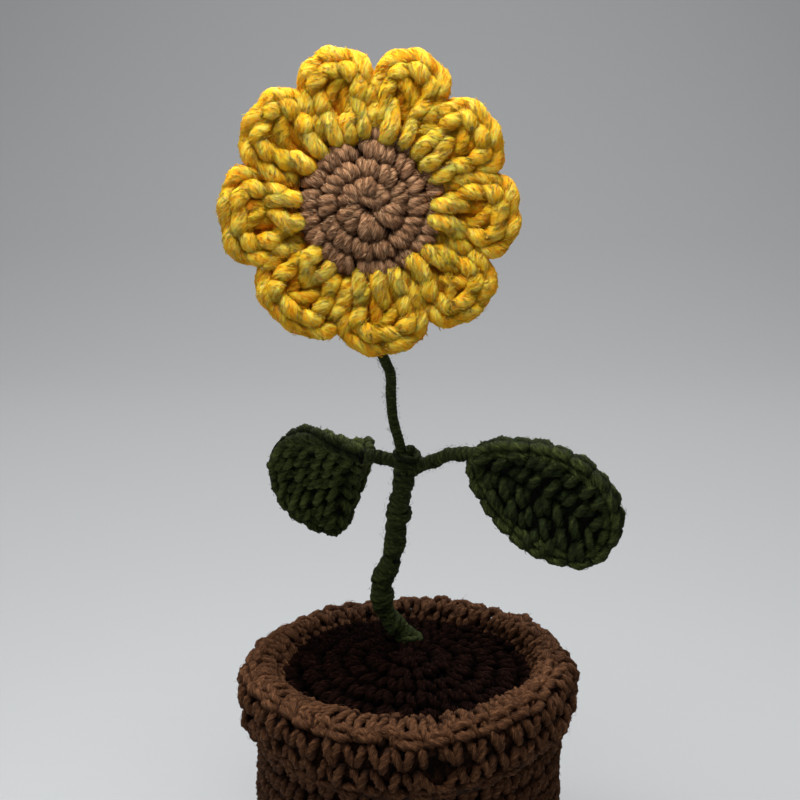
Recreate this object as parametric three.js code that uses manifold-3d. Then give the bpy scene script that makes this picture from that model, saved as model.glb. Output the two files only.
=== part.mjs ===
// A crocheted sunflower in a crocheted pot. The pot is a cup of brown yarn with a cuff folded over its
// mouth, packed with stuffing and closed by a dark soil disc. A wire wrapped in green yarn carries two
// leaves and a flower of nine yellow petals round a tan disc. Millimetres, +Z up. The flower faces -Y,
// and the origin is the middle of the pot's flat bottom.
import * as THREE from "three";
import { mergeVertices } from "three/addons/utils/BufferGeometryUtils.js";
import Module from "manifold-3d";

const wasm = await Module();
wasm.setup();

const GAP = 0.3; // air between two pieces that touch

const pot = { radius: 37, height: 61, wall: 5, floor: 5, segments: 36 };
const cuff = { top: 66, height: 17, outer: 41, inner: 30.5 };
const soil = { edge: 60, rise: 7, thickness: 4 };
const stiffener = { thickness: 1.5, inset: 1 };

const stem = { radius: 2.5, bore: 1.7 };
const stalk = { radius: 1.2, bore: 0.7 };
const leafStalk = { radius: 1.5, bore: 0.7 };
const wireRadius = 0.4;
const wireEnd = 12; // height of the stem wire's lower end, inside the stuffing
const leafWireDrop = 95; // height down to which the leaf wires run beside the stem wire

const flower = {
  centre: new THREE.Vector3(-9, -12, 177),
  faceUp: 5, // degrees that the face looks above the horizon
  discRadius: 15.3,
  discFront: 4,
  discBack: -1,
  backRadius: 14,
  backThickness: 3,
};
const petal = { inner: 15.9, outer: 33.2, halfWidth: 8.3, halfThickness: 3.4, flare: 0.16 };
const petalAngles = [105, 70, 35, -6, -43, -82, -128, -175, -221]; // degrees, seen from the front
const petalReach = [0.8, 1.2, -0.6, 0, 0.8, -0.3, -0.9, -0.6, -0.8]; // millimetres past petal.outer

const leafThickness = 3.4;
const crease = 2.2; // how gently a leaf's two sides meet at its midrib

const vector = ([x, y, z]) => new THREE.Vector3(x, y, z);
const radians = THREE.MathUtils.degToRad;

// In the flower's own frame the face looks along +Z and the petals spread round the origin.
const flowerTurn = new THREE.Euler(radians(90 - flower.faceUp), 0, 0);
const onFlower = (...point) => vector(point).applyEuler(flowerTurn).add(flower.centre);
const backSocket = 0.4; // how far above the flower's middle the wire enters it

// Middle line of the thick, wrapped part of the stem, from under the soil to the fork.
const stemRoute = [
  [0.9, 11, 62.6],
  [0.4, 11, 65.4],
  [-1.2, 10.8, 68.4],
  [-4.2, 10.1, 72],
  [-6.4, 9.1, 76.6],
  [-6.8, 8.4, 81],
  [-6.1, 7.8, 85.2],
  [-4.3, 7.3, 89.4],
  [-3.4, 6.6, 94.5],
  [-3, 5.8, 100],
  [-2, 5, 106],
  [-1.3, 4.3, 112],
  [-1.1, 4, 117],
].map(vector);
// Middle line of the thin stalk, from the fork to the back of the flower.
const stalkRoute = [
  [-1.6, 3.4, 118],
  [-2.6, 2.8, 121],
  [-3.8, 1.8, 126],
  [-4.3, 0.4, 132],
  [-4.4, -1.4, 137.5],
  [-6.2, -3.2, 142.2],
  [-8.2, -4.2, 147],
  [-9, -4, 156],
  [-9, -3, 166],
  [-9, -2.8, 172],
  [-9, -4.2, 176.2],
].map(vector);
// Each leaf's wire leaves the stem through a bend, and goes on along the leaf's outer stalk.
const leafRoutes = {
  left: {
    bend: [[-1.9, 4.6, 112.6], [-4.4, 5.8, 115]],
    outer: [[-7.4, 7.2, 115.4], [-10.2, 8.9, 114.9]],
  },
  right: {
    bend: [[-0.2, 4.3, 111.8], [2.4, 2.5, 114.4]],
    outer: [[5.2, 0.8, 116], [9.3, -1.9, 118.4], [12.4, -3.7, 119.2]],
  },
};
// A blade has a midrib from base to tip. Its far and near sides leave the midrib in the directions given,
// and their widths are given at even steps along it.
const blades = {
  left: {
    midrib: [[-10.6, 9.2, 114.8], [-13.4, 17.5, 114], [-17.2, 27.6, 103], [-20.4, 33.5, 86.6]],
    far: { towards: [-0.92, 0.14, 0.32], widths: [8, 15.5, 19.5, 21.5, 21.5, 19, 12] },
    near: { towards: [0.46, 0.86, 0.16], widths: [2, 5.5, 9, 10.5, 10, 7.5, 3] },
  },
  right: {
    midrib: [[13.7, -4.5, 119.1], [21.5, -7, 115.8], [34.5, -11.6, 110.2], [46.6, -15.6, 101]],
    far: { towards: [0.4, -0.46, 0.8], widths: [4.5, 9.5, 12.5, 13.5, 13, 10.5, 5] },
    near: { towards: [-0.3, 0.06, -0.95], widths: [4, 9.5, 13.5, 15.5, 15, 12, 6] },
  },
};

const yarn = (colour) => new THREE.MeshStandardMaterial({ color: colour, roughness: 0.95, metalness: 0 });
const materials = {
  pot: yarn(0x70503a),
  soil: yarn(0x301c16),
  green: yarn(0x3a4a26),
  tan: yarn(0x9a7660),
  yellow: yarn(0xe6b52c),
  stuffing: yarn(0xe8e6e0),
  sheet: new THREE.MeshStandardMaterial({ color: 0xc9b99a, roughness: 0.8, metalness: 0 }),
  wire: new THREE.MeshStandardMaterial({ color: 0x9a9c9e, roughness: 0.35, metalness: 1 }),
};

function toSolid(geometry) {
  const bare = new THREE.BufferGeometry().setAttribute("position", geometry.getAttribute("position"));
  if (geometry.index) bare.setIndex(geometry.index);
  const merged = mergeVertices(bare, 1e-4);
  return new wasm.Manifold(
    new wasm.Mesh({
      numProp: 3,
      vertProperties: merged.attributes.position.array,
      triVerts: new Uint32Array(merged.index.array),
    }),
  );
}

function toGeometry(solid) {
  const mesh = solid.getMesh();
  const geometry = new THREE.BufferGeometry();
  geometry.setAttribute("position", new THREE.BufferAttribute(new Float32Array(mesh.vertProperties), 3));
  geometry.setIndex(new THREE.BufferAttribute(new Uint32Array(mesh.triVerts), 1));
  geometry.computeVertexNormals();
  return geometry;
}

// What is left of a geometry once every cutter is taken out of it.
function cut(geometry, ...cutters) {
  return toGeometry(cutters.reduce((left, cutter) => left.subtract(toSolid(cutter)), toSolid(geometry)));
}

// A round solid about Z. The profile's points are [radius, height], counter-clockwise in that plane.
function turned(profile, segments = pot.segments) {
  const points = profile.map(([radius, height]) => new THREE.Vector2(radius, height));
  return new THREE.LatheGeometry(points, segments).rotateX(Math.PI / 2);
}

// A round rod along a route.
function rod(route, radius, { sides = 14, spacing = 3 } = {}) {
  const path = new THREE.CatmullRomCurve3(route, false, "centripetal");
  const section = new THREE.Shape().absarc(0, 0, radius, 0, 2 * Math.PI);
  return new THREE.ExtrudeGeometry(section, {
    steps: Math.max(2, Math.round(path.getLength() / spacing)),
    curveSegments: sides / 2,
    bevelEnabled: false,
    extrudePath: path,
  });
}

// The route's points moved sideways.
const beside = (route, x, y) => route.map((point) => point.clone().add(new THREE.Vector3(x, y, 0)));

// A unit sphere whose poles lie on X, with every vertex moved by place(along, across, up, ring). along goes
// from -1 at one pole to 1 at the other, across and up go round the ring there, and ring is its radius.
function shaped(columns, rows, place) {
  const geometry = new THREE.SphereGeometry(1, columns, rows).rotateZ(-Math.PI / 2);
  const position = geometry.getAttribute("position");
  const point = new THREE.Vector3();
  for (let i = 0; i < position.count; i += 1) {
    point.fromBufferAttribute(position, i);
    const ring = Math.sqrt(Math.max(0, 1 - point.x * point.x));
    const across = ring > 1e-6 ? point.y / ring : 0;
    const up = ring > 1e-6 ? point.z / ring : 0;
    const moved = place(point.x, across, up, ring);
    position.setXYZ(i, moved.x, moved.y, moved.z);
  }
  return geometry;
}

const group = new THREE.Group();

function add(name, geometry, material, parent = group) {
  const mesh = new THREE.Mesh(geometry, material);
  mesh.name = name;
  parent.add(mesh);
  return mesh;
}

// Height of the soil's top at a distance from the pot's middle.
const soilRadius = pot.radius - pot.wall - GAP;
const soilTop = (radius) => soil.edge + soil.rise * (1 - (radius / soilRadius) ** 2);
const soilSteps = [0, 0.25, 0.5, 0.7, 0.85, 1].map((share) => share * soilRadius);
// The stem's route run on past its two ends, for cutters that go right through.
const underSoil = stemRoute[0].clone().setZ(soil.edge - 10);
const aboveFork = stemRoute.at(-1).clone().add(new THREE.Vector3(0, 0, 3));
const throughStem = [underSoil, ...stemRoute, aboveFork];

function potWall() {
  const inside = pot.radius - pot.wall;
  return turned([
    [0, 0],
    [pot.radius - 1.6, 0],
    [pot.radius - 0.4, 0.6],
    [pot.radius, 2],
    [pot.radius, pot.height - 1.4],
    [pot.radius - 1.2, pot.height],
    [inside + 1, pot.height],
    [inside, pot.height - 1],
    [inside, pot.floor],
    [0, pot.floor],
  ]);
}

// The cuff hooks over the wall's top: a lip inside the mouth, and a skirt outside the wall.
function potCuff() {
  const bottom = cuff.top - cuff.height;
  const skirt = pot.radius + GAP;
  const roof = pot.height + GAP;
  return turned([
    [skirt, bottom + 1],
    [skirt + 0.8, bottom],
    [cuff.outer - 1.2, bottom],
    [cuff.outer - 0.2, bottom + 1.4],
    [cuff.outer, cuff.top - 6],
    [cuff.outer - 0.8, cuff.top - 2.4],
    [cuff.outer - 3, cuff.top],
    [cuff.inner + 3, cuff.top],
    [cuff.inner + 0.8, cuff.top - 1],
    [cuff.inner, cuff.top - 2.8],
    [cuff.inner + 0.8, roof],
    [skirt, roof],
    [skirt, bottom + 1],
  ]);
}

function soilDisc() {
  const top = soilSteps.map((radius) => [radius, soilTop(radius)]);
  const under = top.map(([radius, height]) => [radius, height - soil.thickness]);
  return cut(turned([...under, ...top.reverse()]), rod(throughStem, stem.radius + GAP));
}

function stuffing() {
  const bottom = pot.floor + stiffener.thickness + 2 * GAP;
  const top = soilSteps.map((radius) => [radius, soilTop(radius) - soil.thickness - GAP]);
  const plug = turned([[0, bottom], [soilRadius, bottom], ...top.reverse()]);
  return cut(plug, rod(stemWireRoute(), stalk.bore, { spacing: 5 }));
}

function stiffenerDisc() {
  const radius = pot.radius - pot.wall - stiffener.inset;
  const bottom = pot.floor + GAP;
  const top = bottom + stiffener.thickness;
  return turned([[0, bottom], [radius, bottom], [radius, top], [0, top]]);
}

// In the wrapped stem the wires lie side by side: the stem wire in front and the leaf wires behind it.
const stemWireOffset = [0, -0.85];
const leafWireOffset = { left: [-0.8, 0.5], right: [0.8, 0.5] };

function stemWireRoute() {
  const low = [[1.8, 10, wireEnd], [1.8, 10.2, 40]].map(vector);
  const wrapped = beside(stemRoute, ...stemWireOffset);
  const behind = flower.discBack - flower.backThickness;
  const intoFlower = [behind - 1, flower.discBack - 2 * GAP].map((depth) => onFlower(0, backSocket, depth));
  return [...low, ...wrapped, ...stalkRoute, ...intoFlower];
}

function leafWireRoute(side) {
  const beforeFork = stemRoute.filter((point) => point.z > leafWireDrop && point.z < 110);
  const { bend, outer } = leafRoutes[side];
  return [...beside(beforeFork, ...leafWireOffset[side]), ...bend.map(vector), ...outer.map(vector)];
}

const leafStalkRoute = (side) => [...leafRoutes[side].bend, ...leafRoutes[side].outer].map(vector);
const leafWireCutter = (side, radius) => rod(leafWireRoute(side), radius, { sides: 10, spacing: 2.5 });

function stemWrap() {
  return cut(
    rod(stemRoute, stem.radius),
    rod(throughStem, stem.bore),
    leafWireCutter("left", leafStalk.bore),
    leafWireCutter("right", leafStalk.bore),
  );
}

function flowerStalk() {
  return cut(
    rod(stalkRoute, stalk.radius),
    rod(stemWireRoute(), stalk.bore, { sides: 10 }),
    rod(stemRoute, stem.radius + GAP),
  );
}

// A leaf's stalk starts on the side of the wrapped stem and ends just short of the blade.
function leafStalkWrap(side) {
  return cut(
    rod(leafStalkRoute(side), leafStalk.radius, { spacing: 1.5 }),
    leafWireCutter(side, leafStalk.bore),
    rod(stemRoute, stem.radius + GAP),
    rod(stalkRoute, stalk.radius + GAP),
  );
}

function leafWire(side) {
  const route = leafWireRoute(side);
  const last = route.at(-1);
  route[route.length - 1] = last.clone().lerp(route.at(-2), GAP / last.distanceTo(route.at(-2)));
  return rod(route, wireRadius, { sides: 10, spacing: 2.5 });
}

function leafBlade({ midrib, far, near }) {
  const curve = new THREE.CatmullRomCurve3(midrib.map(vector), false, "centripetal");
  const farWay = vector(far.towards).normalize();
  const nearWay = vector(near.towards).normalize();
  const widthAt = ({ widths }, share) => {
    const steps = widths.map((width, i) => new THREE.Vector2(i, width));
    return new THREE.SplineCurve(steps).getPoint(share).y;
  };
  const onBlade = (share, distance) => {
    const smooth = Math.hypot(distance, crease);
    return curve
      .getPointAt(THREE.MathUtils.clamp(share, 0, 1))
      .addScaledVector(farWay, (smooth + distance - crease) / 2)
      .addScaledVector(nearWay, (smooth - distance - crease) / 2);
  };
  return shaped(14, 18, (along, across, up, ring) => {
    const share = (1 + along) / 2;
    const rounded = Math.min(1, 2.2 * ring) ** 0.6;
    const distance = across * rounded * widthAt(across > 0 ? far : near, share);
    const step = 0.01;
    const lengthwise = onBlade(share + step, distance).sub(onBlade(share - step, distance));
    const crosswise = onBlade(share, distance + step).sub(onBlade(share, distance - step));
    const outwards = lengthwise.cross(crosswise).normalize();
    const halfThickness = (leafThickness / 2) * Math.min(1, 1.6 * ring);
    return onBlade(share, distance).addScaledVector(outwards, up * halfThickness);
  });
}

function flowerDisc() {
  const { discRadius: radius, discBack: back, discFront: front } = flower;
  const edge = [[radius - 1, back], [radius, back + 1], [radius - 0.4, front - 2.2]];
  const face = [[radius * 0.7, front - 0.6], [radius * 0.3, front], [0, front]];
  return turned([[0, back], ...edge, ...face]);
}

function flowerBack() {
  const front = flower.discBack - GAP;
  const back = front - flower.backThickness;
  const radius = flower.backRadius;
  const disc = turned([[0, back], [radius * 0.7, back], [radius, back + 1.2], [radius, front], [0, front]]);
  const through = [back - 3, front + 3].map((depth) => vector([0, backSocket, depth]));
  return cut(disc, rod(through, stalk.bore, { sides: 10 }));
}

// A petal fills the wedge between the lines halfway to its neighbours, with a rounded outline inside it.
function petalPad(index) {
  const count = petalAngles.length;
  const angle = petalAngles[index];
  const before = index === 0 ? petalAngles[count - 1] + 360 : petalAngles[index - 1];
  const after = index === count - 1 ? petalAngles[0] - 360 : petalAngles[index + 1];
  const outer = petal.outer + petalReach[index];
  const middle = (petal.inner + outer) / 2;
  const halfLength = (outer - petal.inner) / 2;
  const pad = shaped(12, 14, (along, across, up, ring) => {
    const radius = middle + along * halfLength;
    const toNeighbour = across > 0 ? before - angle : angle - after;
    const room = radius * Math.tan(radians(toNeighbour / 2)) - GAP;
    const width = Math.min(petal.halfWidth * (1 + petal.flare * along) * ring ** 0.8, room);
    const lift = 0.7 * along * along;
    return new THREE.Vector3(radius, across * width, up * petal.halfThickness * ring ** 0.8 + lift);
  });
  return pad.rotateZ(radians(angle));
}

add("pot_wall", potWall(), materials.pot);
add("pot_cuff", potCuff(), materials.pot);
add("pot_stiffener", stiffenerDisc(), materials.sheet);
add("stuffing", stuffing(), materials.stuffing);
add("soil_disc", soilDisc(), materials.soil);

add("stem_wire", rod(stemWireRoute(), wireRadius, { sides: 8 }), materials.wire);
add("stem_wrap", stemWrap(), materials.green);
add("flower_stalk", flowerStalk(), materials.green);

for (const side of ["left", "right"]) {
  add(`leaf_${side}_wire`, leafWire(side), materials.wire);
  add(`leaf_${side}_stalk`, leafStalkWrap(side), materials.green);
  add(`leaf_${side}`, leafBlade(blades[side]), materials.green);
}

const head = new THREE.Group();
head.position.copy(flower.centre);
head.rotation.copy(flowerTurn);
group.add(head);
add("flower_centre", flowerDisc(), materials.tan, head);
add("flower_back", flowerBack(), materials.tan, head);
petalAngles.forEach((_, index) => add(`petal_${index + 1}`, petalPad(index), materials.yellow, head));

export default group;
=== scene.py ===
import math

import bpy
import numpy as np
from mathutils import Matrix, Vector


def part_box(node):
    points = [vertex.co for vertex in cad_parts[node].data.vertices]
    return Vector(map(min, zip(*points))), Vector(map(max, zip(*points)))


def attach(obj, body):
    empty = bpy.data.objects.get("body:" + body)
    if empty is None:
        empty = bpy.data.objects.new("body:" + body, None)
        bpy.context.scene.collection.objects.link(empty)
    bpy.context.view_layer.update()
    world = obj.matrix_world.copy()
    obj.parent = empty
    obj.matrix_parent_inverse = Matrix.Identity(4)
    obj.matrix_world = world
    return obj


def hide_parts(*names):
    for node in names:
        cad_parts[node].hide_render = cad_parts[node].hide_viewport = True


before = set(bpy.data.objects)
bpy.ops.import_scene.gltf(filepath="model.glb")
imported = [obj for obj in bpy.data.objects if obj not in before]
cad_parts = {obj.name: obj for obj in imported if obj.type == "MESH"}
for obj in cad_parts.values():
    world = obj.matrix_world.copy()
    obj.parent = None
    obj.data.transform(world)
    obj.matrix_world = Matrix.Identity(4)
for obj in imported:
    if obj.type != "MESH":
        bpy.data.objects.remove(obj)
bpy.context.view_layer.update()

mm = 0.001
turn = 2 * math.pi
dice = np.random.default_rng(23)
print("frame loaded")


# Numbers and places. Everything below is worked out in millimetres and made into metres in the meshes.

def boxOf(node):  # lowest and highest corner of a node, in millimetres
    return [np.array(corner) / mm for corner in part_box(node)]


def unit(vectors):
    return vectors / np.maximum(np.linalg.norm(vectors, axis=-1, keepdims=True), 1e-9)


def smooth(points, count):  # a soft line through the points, which lie on the last but one axis
    points = np.asarray(points, float)
    first = 2 * points[..., :1, :] - points[..., 1:2, :]
    last = 2 * points[..., -1:, :] - points[..., -2:-1, :]
    points = np.concatenate([first, points, last], -2)
    spans = points.shape[-2] - 3
    at = np.linspace(0, spans, count)
    whole = np.minimum(at.astype(int), spans - 1)
    part = (at - whole)[:, None]
    a, b, c, d = (points[..., whole + k, :] for k in range(4))
    return b + 0.5 * part * (c - a + part * (2 * a - 5 * b + 4 * c - d + part * (3 * (b - c) + d - a)))


def lengthAlong(line):  # how far each point of a line is from its start
    return np.concatenate([[0], np.cumsum(np.linalg.norm(np.diff(line, axis=0), axis=1))])


def evenly(points, spacing):  # the same line again, in even steps
    line = smooth(points, 40 * len(points))
    run = lengthAlong(line)
    at = np.linspace(0, run[-1], max(3, int(run[-1] / spacing) + 1))
    return np.stack([np.interp(at, run, line[:, k]) for k in range(3)], -1)


def between(table, at):  # points of a line at row numbers that needn't be whole
    return np.stack([np.interp(at, np.arange(len(table)), table[:, k]) for k in range(3)], -1)


def frameOf(lines, outward):  # three directions along each line: ahead, to the side and up off the fabric
    ahead = unit(np.gradient(lines, axis=1))
    side = unit(np.cross(ahead, outward))
    return ahead, side, np.cross(side, ahead)


def ease(value, low, high):  # 0 below low, 1 above high, soft in between
    share = np.clip((value - low) / (high - low), 0, 1)
    return share * share * (3 - 2 * share)


def wobble(value, seed):  # a slow wave between -1 and 1 that never quite repeats
    return (np.sin(value + seed) + np.sin(2.3 * value + 1.7 * seed) + np.sin(4.1 * value + 2.9 * seed)) / 3


# A piece of fabric is a heap of closed tubes: yarn, loose hairs, and the filling behind them. Each point
# carries a painted light value: low for painted shade, high for painted highlight.

class Fabric:
    def __init__(self, name):
        self.name = name
        self.points, self.crest, self.batches, self.strands = [], [], [], []
        self.count = 0

    def rings(self, points, crest, along, loop=False, segment=8):
        # many tubes, each of rings of points; a loop closes on itself and the others get closed tips
        many, rows, sides, _ = points.shape
        ids = self.count + np.arange(many * rows * sides).reshape(many, rows, sides)
        self.points.append(points.reshape(-1, 3))
        self.crest.append(np.broadcast_to(crest, points.shape[:3]).reshape(-1))
        self.count += ids.size
        row = np.arange(rows if loop else rows - 1)
        after = (row + 1) % rows
        here, there = ids[:, row], ids[:, after]
        quads = np.stack([here, np.roll(here, -1, 2), np.roll(there, -1, 2), there], -1)
        stretches = -(-len(row) // segment)
        u = np.arange(sides) / sides
        low = (row % segment) / segment
        step = 1 / segment
        across = np.stack([u, u + 1 / sides, u + 1 / sides, u], -1)
        upward = np.stack([low, low, low + step, low + step], -1)
        local = np.empty(quads.shape + (2,))  # in its own cell of the bake sheet; the tips take the rest
        local[..., 0] = across[None, None]
        local[..., 1] = 0.1 + 0.8 * upward[None, :, None]
        cell = np.arange(many)[:, None, None] * stretches + (row // segment)[None, :, None]
        cell = np.broadcast_to(cell, quads.shape[:3])
        yarn = np.empty_like(local)
        yarn[..., 0] = across[None, None]
        ahead = along[:, after].copy()
        if loop:
            ahead[:, -1] = along[:, -1] + (along[:, -1] - along[:, -2])
        run = np.stack([along[:, row], along[:, row], ahead, ahead], -1)
        yarn[..., 1] = run[:, :, None]
        girth = np.linalg.norm(np.diff(points[:, rows // 2], axis=1), axis=-1).sum(1).mean()
        length = np.linalg.norm(np.diff(points[..., 0, :], axis=1), axis=-1).sum(1).mean()
        size = (max(girth, 0.2), max(length * segment / len(row) * 1.25, 0.2))
        self.batches.append((quads.reshape(-1, 4), local.reshape(-1, 4, 2), yarn.reshape(-1, 4, 2),
                             cell.reshape(-1), many * stretches, size))
        if loop:
            return
        tips = np.stack([points[:, 0].mean(1), points[:, -1].mean(1)], 1)
        tipIds = self.count + np.arange(many * 2).reshape(many, 2)
        self.points.append(tips.reshape(-1, 3))
        ends = np.broadcast_to(crest, points.shape[:3])
        self.crest.append(np.stack([ends[:, 0].mean(-1), ends[:, -1].mean(-1)], 1).reshape(-1))
        self.count += many * 2
        for end, edge in ((0, ids[:, 0]), (1, ids[:, -1])):
            tip = np.broadcast_to(tipIds[:, end, None], edge.shape)
            following = np.roll(edge, -1, 1)
            faces = np.stack((tip, following, edge) if end == 0 else (tip, edge, following), -1)
            local = np.empty(faces.shape + (2,))
            first, second = (u + 1 / sides, u) if end == 0 else (u, u + 1 / sides)
            local[..., 0] = np.stack([u + 0.5 / sides, first, second], -1)
            lastBand = (len(row) % segment) / segment or 1.0
            tipHeight, edgeHeight = (0.02, 0.1) if end == 0 else (0.98, 0.1 + 0.8 * lastBand)
            local[..., 1] = (tipHeight, edgeHeight, edgeHeight)
            yarn = local.copy()
            yarn[..., 1] = along[:, -end][:, None, None]
            cell = np.broadcast_to((np.arange(many) * stretches + end * (stretches - 1))[:, None], edge.shape)
            self.batches.append((faces.reshape(-1, 3), local.reshape(-1, 3, 2), yarn.reshape(-1, 3, 2),
                                 cell.reshape(-1), -1, None))

    def yarn(self, lines, outward, radius, ply=3, sides=12, lay=3.4, groove=0.2, crest=1.0, flat=1.0):
        # lines is (strands, steps, 3); outward says which way the fabric faces there
        lines = np.asarray(lines, float)
        if lines.ndim == 2:
            lines, outward = lines[None], np.asarray(outward, float)[None]
        many, steps = lines.shape[:2]
        radius = np.broadcast_to(radius, (many, steps)).astype(float)
        crest = np.broadcast_to(crest, (many, steps))
        _, side, lift = frameOf(lines, outward)
        run = np.zeros((many, steps))
        run[:, 1:] = np.cumsum(np.linalg.norm(np.diff(lines, axis=1), axis=-1), 1)
        fromEnd = np.minimum(run, run[:, -1:] - run) / (1.5 * radius.mean())
        radius = radius * np.sqrt(np.maximum(1 - (1 - np.clip(fromEnd, 0, 1)) ** 2, 0.03))
        roll = turn * run / (lay * 2 * radius.mean()) + dice.uniform(0, turn, (many, 1))
        angle = turn * np.arange(sides) / sides
        lobe = 0.5 + 0.5 * np.cos(ply * angle)
        reach = 1 - groove * (1 - lobe)
        spin = angle[None, None] + roll[..., None]
        up, over = (np.cos(spin) * flat)[..., None], np.sin(spin)[..., None]
        width = (radius[..., None] * reach)[..., None]
        ring = lines[:, :, None] + width * (up * lift[:, :, None] + over * side[:, :, None])
        # painted light: the side of each strand facing up off the fabric is painted lighter, the side against
        # the fabric darker, and the grooves between the plies get painted shade
        faced = 0.5 + 0.5 * np.cos(spin)
        shade = crest[..., None] * (0.35 + 0.65 * faced) * (0.7 + 0.3 * lobe)
        self.rings(ring, shade, run + dice.uniform(0, 900, (many, 1)))
        self.strands.append((lines, side, lift, radius, crest, math.pi / lay))

    def cable(self, lines, outward, radius, apart, twist, crest, **how):  # two strands round each other
        _, side, lift = frameOf(lines, outward)
        many, steps = lines.shape[:2]
        spin = turn * twist * np.linspace(0, 1, steps) + dice.uniform(0, turn, (many, 1))
        for half in (0, math.pi):
            over, up = np.cos(spin + half)[..., None], np.sin(spin + half)[..., None]
            aside = apart * (over * side + 0.8 * up * lift)
            # painted light: the strand lying on top of the pair is painted lighter, the one underneath darker
            self.yarn(lines + aside, outward, radius, crest=crest * (0.8 + 0.2 * up[..., 0]), **how)

    def hairs(self, number, length, thickness=0.05, stand=0.16, stray=0.12, only=0.3, contrast=0.3):
        # loose fibres that lie round the strands with their twist, and a few that stray from them
        share = np.array([group[0].shape[0] * group[0].shape[1] for group in self.strands], float)
        picks = dice.choice(len(self.strands), number, p=share / share.sum())
        found = []
        for index, (lines, side, lift, radius, crest, slope) in enumerate(self.strands):
            many = int((picks == index).sum())
            if many == 0:
                continue
            who = dice.integers(0, lines.shape[0], many)
            step = dice.integers(1, lines.shape[1] - 1, many)
            spin = dice.normal(0, 0.8, many)[:, None]
            out = np.cos(spin) * lift[who, step] + np.sin(spin) * side[who, step]
            across = np.cos(spin) * side[who, step] - np.sin(spin) * lift[who, step]
            along = unit(lines[who, step + 1] - lines[who, step - 1])
            wide = radius[who, step][:, None]
            bent = slope ** 2 / (1 + slope ** 2) / np.maximum(wide, 0.4)
            # painted light: each hair takes the painted light of its strand, and is lighter where it lies on
            # the strand's upper side
            tone = crest[who, step][:, None] * (0.55 + 0.45 * np.cos(spin))
            row = (lines[who, step] + out * wide * 0.97, out, unit(along + across * slope), bent, tone)
            found.append([part[crest[who, step] > only] for part in row])
        root, away, heading, bent, tone = (np.concatenate(parts) for parts in zip(*found))
        many = len(root)
        free = dice.uniform(0, 1, (many, 1)) < stray
        heading = heading * dice.choice([-1, 1], (many, 1)) + dice.normal(0, 0.16, (many, 3))
        heading = heading + free * dice.normal(0, 0.7, (many, 3))
        heading = unit(heading + away * stand * np.where(free, 3.0, 1.0))
        span = length * dice.uniform(0.4, 1.0, (many, 1)) * np.where(free, 1.3, 1.0)
        at = np.linspace(0, 1, 5)
        run = (span * at)[..., None]
        droop = (away * bent * np.where(free, 0.2, 0.5))[:, None]
        lines = root[:, None] + heading[:, None] * run - droop * run ** 2
        _, side, lift = frameOf(lines, unit(dice.normal(0, 1, (many, 1, 3))))
        angle = (turn * np.arange(3) / 3)[:, None]
        over, up = np.sin(angle), np.cos(angle)
        wide = np.where(free, min(0.6, 0.05 / thickness), dice.uniform(0.6, 1.2, (many, 1)))[..., None, None]
        wide = wide * thickness * (1 - 0.8 * np.abs(2 * at - 0.9))[None, :, None, None]
        ring = lines[:, :, None] + wide * (up * lift[:, :, None] + over * side[:, :, None])
        tone = tone * (1 + dice.uniform(-contrast, contrast, (many, 1)))
        self.rings(ring, tone[..., None], span * at + dice.uniform(0, 900, (many, 1)), segment=4)

    def turned(self, profile, steps, crest):  # a round filling, from a closed outline of radius and height
        outline = np.asarray(profile, float)
        following = np.roll(outline, -1, 0)
        if (outline[:, 0] * following[:, 1] - following[:, 0] * outline[:, 1]).sum() > 0:
            outline = outline[::-1]
        angle = turn * np.arange(steps) / steps
        radius, height = outline[None, :, 0], outline[None, :, 1]
        x, y = radius * np.cos(angle)[:, None], radius * np.sin(angle)[:, None]
        ring = np.stack([x, y, height + 0 * angle[:, None]], -1)
        reach = np.linalg.norm(ring[:, 0, :2], axis=-1)
        self.rings(ring[None], crest, (angle * reach)[None], loop=True, segment=12)

    def make(self, material, node):
        corners = np.concatenate([batch[0].reshape(-1) for batch in self.batches])
        sizes = np.concatenate([np.full(len(batch[0]), batch[0].shape[1]) for batch in self.batches])
        yarn = np.concatenate([batch[2].reshape(-1, 2) for batch in self.batches])
        areas = [batch[4] * batch[5][0] * batch[5][1] if batch[5] else 0 for batch in self.batches]
        total, base, bake = sum(areas), 0.0, []
        for (_, local, _, cell, cells, size), area in zip(self.batches, areas):
            if size:  # a new band of the sheet; the round ends that follow share their tube's cells
                band, floor = area / total, base
                columns = max(1, round(math.sqrt(cells * size[1] / size[0] / band)))
                rows = -(-cells // columns)
                base += band
            column, row = cell % columns, cell // columns
            x = (column[:, None] + 0.03 + 0.94 * local[..., 0]) / columns
            y = floor + band * (row[:, None] + local[..., 1]) / rows
            bake.append(np.stack([x, y], -1).reshape(-1, 2))
        mesh = bpy.data.meshes.new(self.name)
        points = np.concatenate(self.points) * mm
        points[:, 2] = np.maximum(points[:, 2], 0)  # nothing goes below what the pot stands on
        mesh.vertices.add(len(points))
        mesh.vertices.foreach_set("co", points.astype(np.float32).ravel())
        mesh.loops.add(len(corners))
        mesh.loops.foreach_set("vertex_index", corners.astype(np.int32))
        mesh.polygons.add(len(sizes))
        mesh.polygons.foreach_set("loop_start", (np.cumsum(sizes) - sizes).astype(np.int32))
        mesh.update(calc_edges=True)
        mesh.polygons.foreach_set("use_smooth", np.ones(len(sizes), bool))
        for title, places in (("yarn", yarn), ("OFBake", np.concatenate(bake))):
            layer = mesh.uv_layers.new(name=title)
            layer.uv.foreach_set("vector", places.astype(np.float32).ravel())
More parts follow.
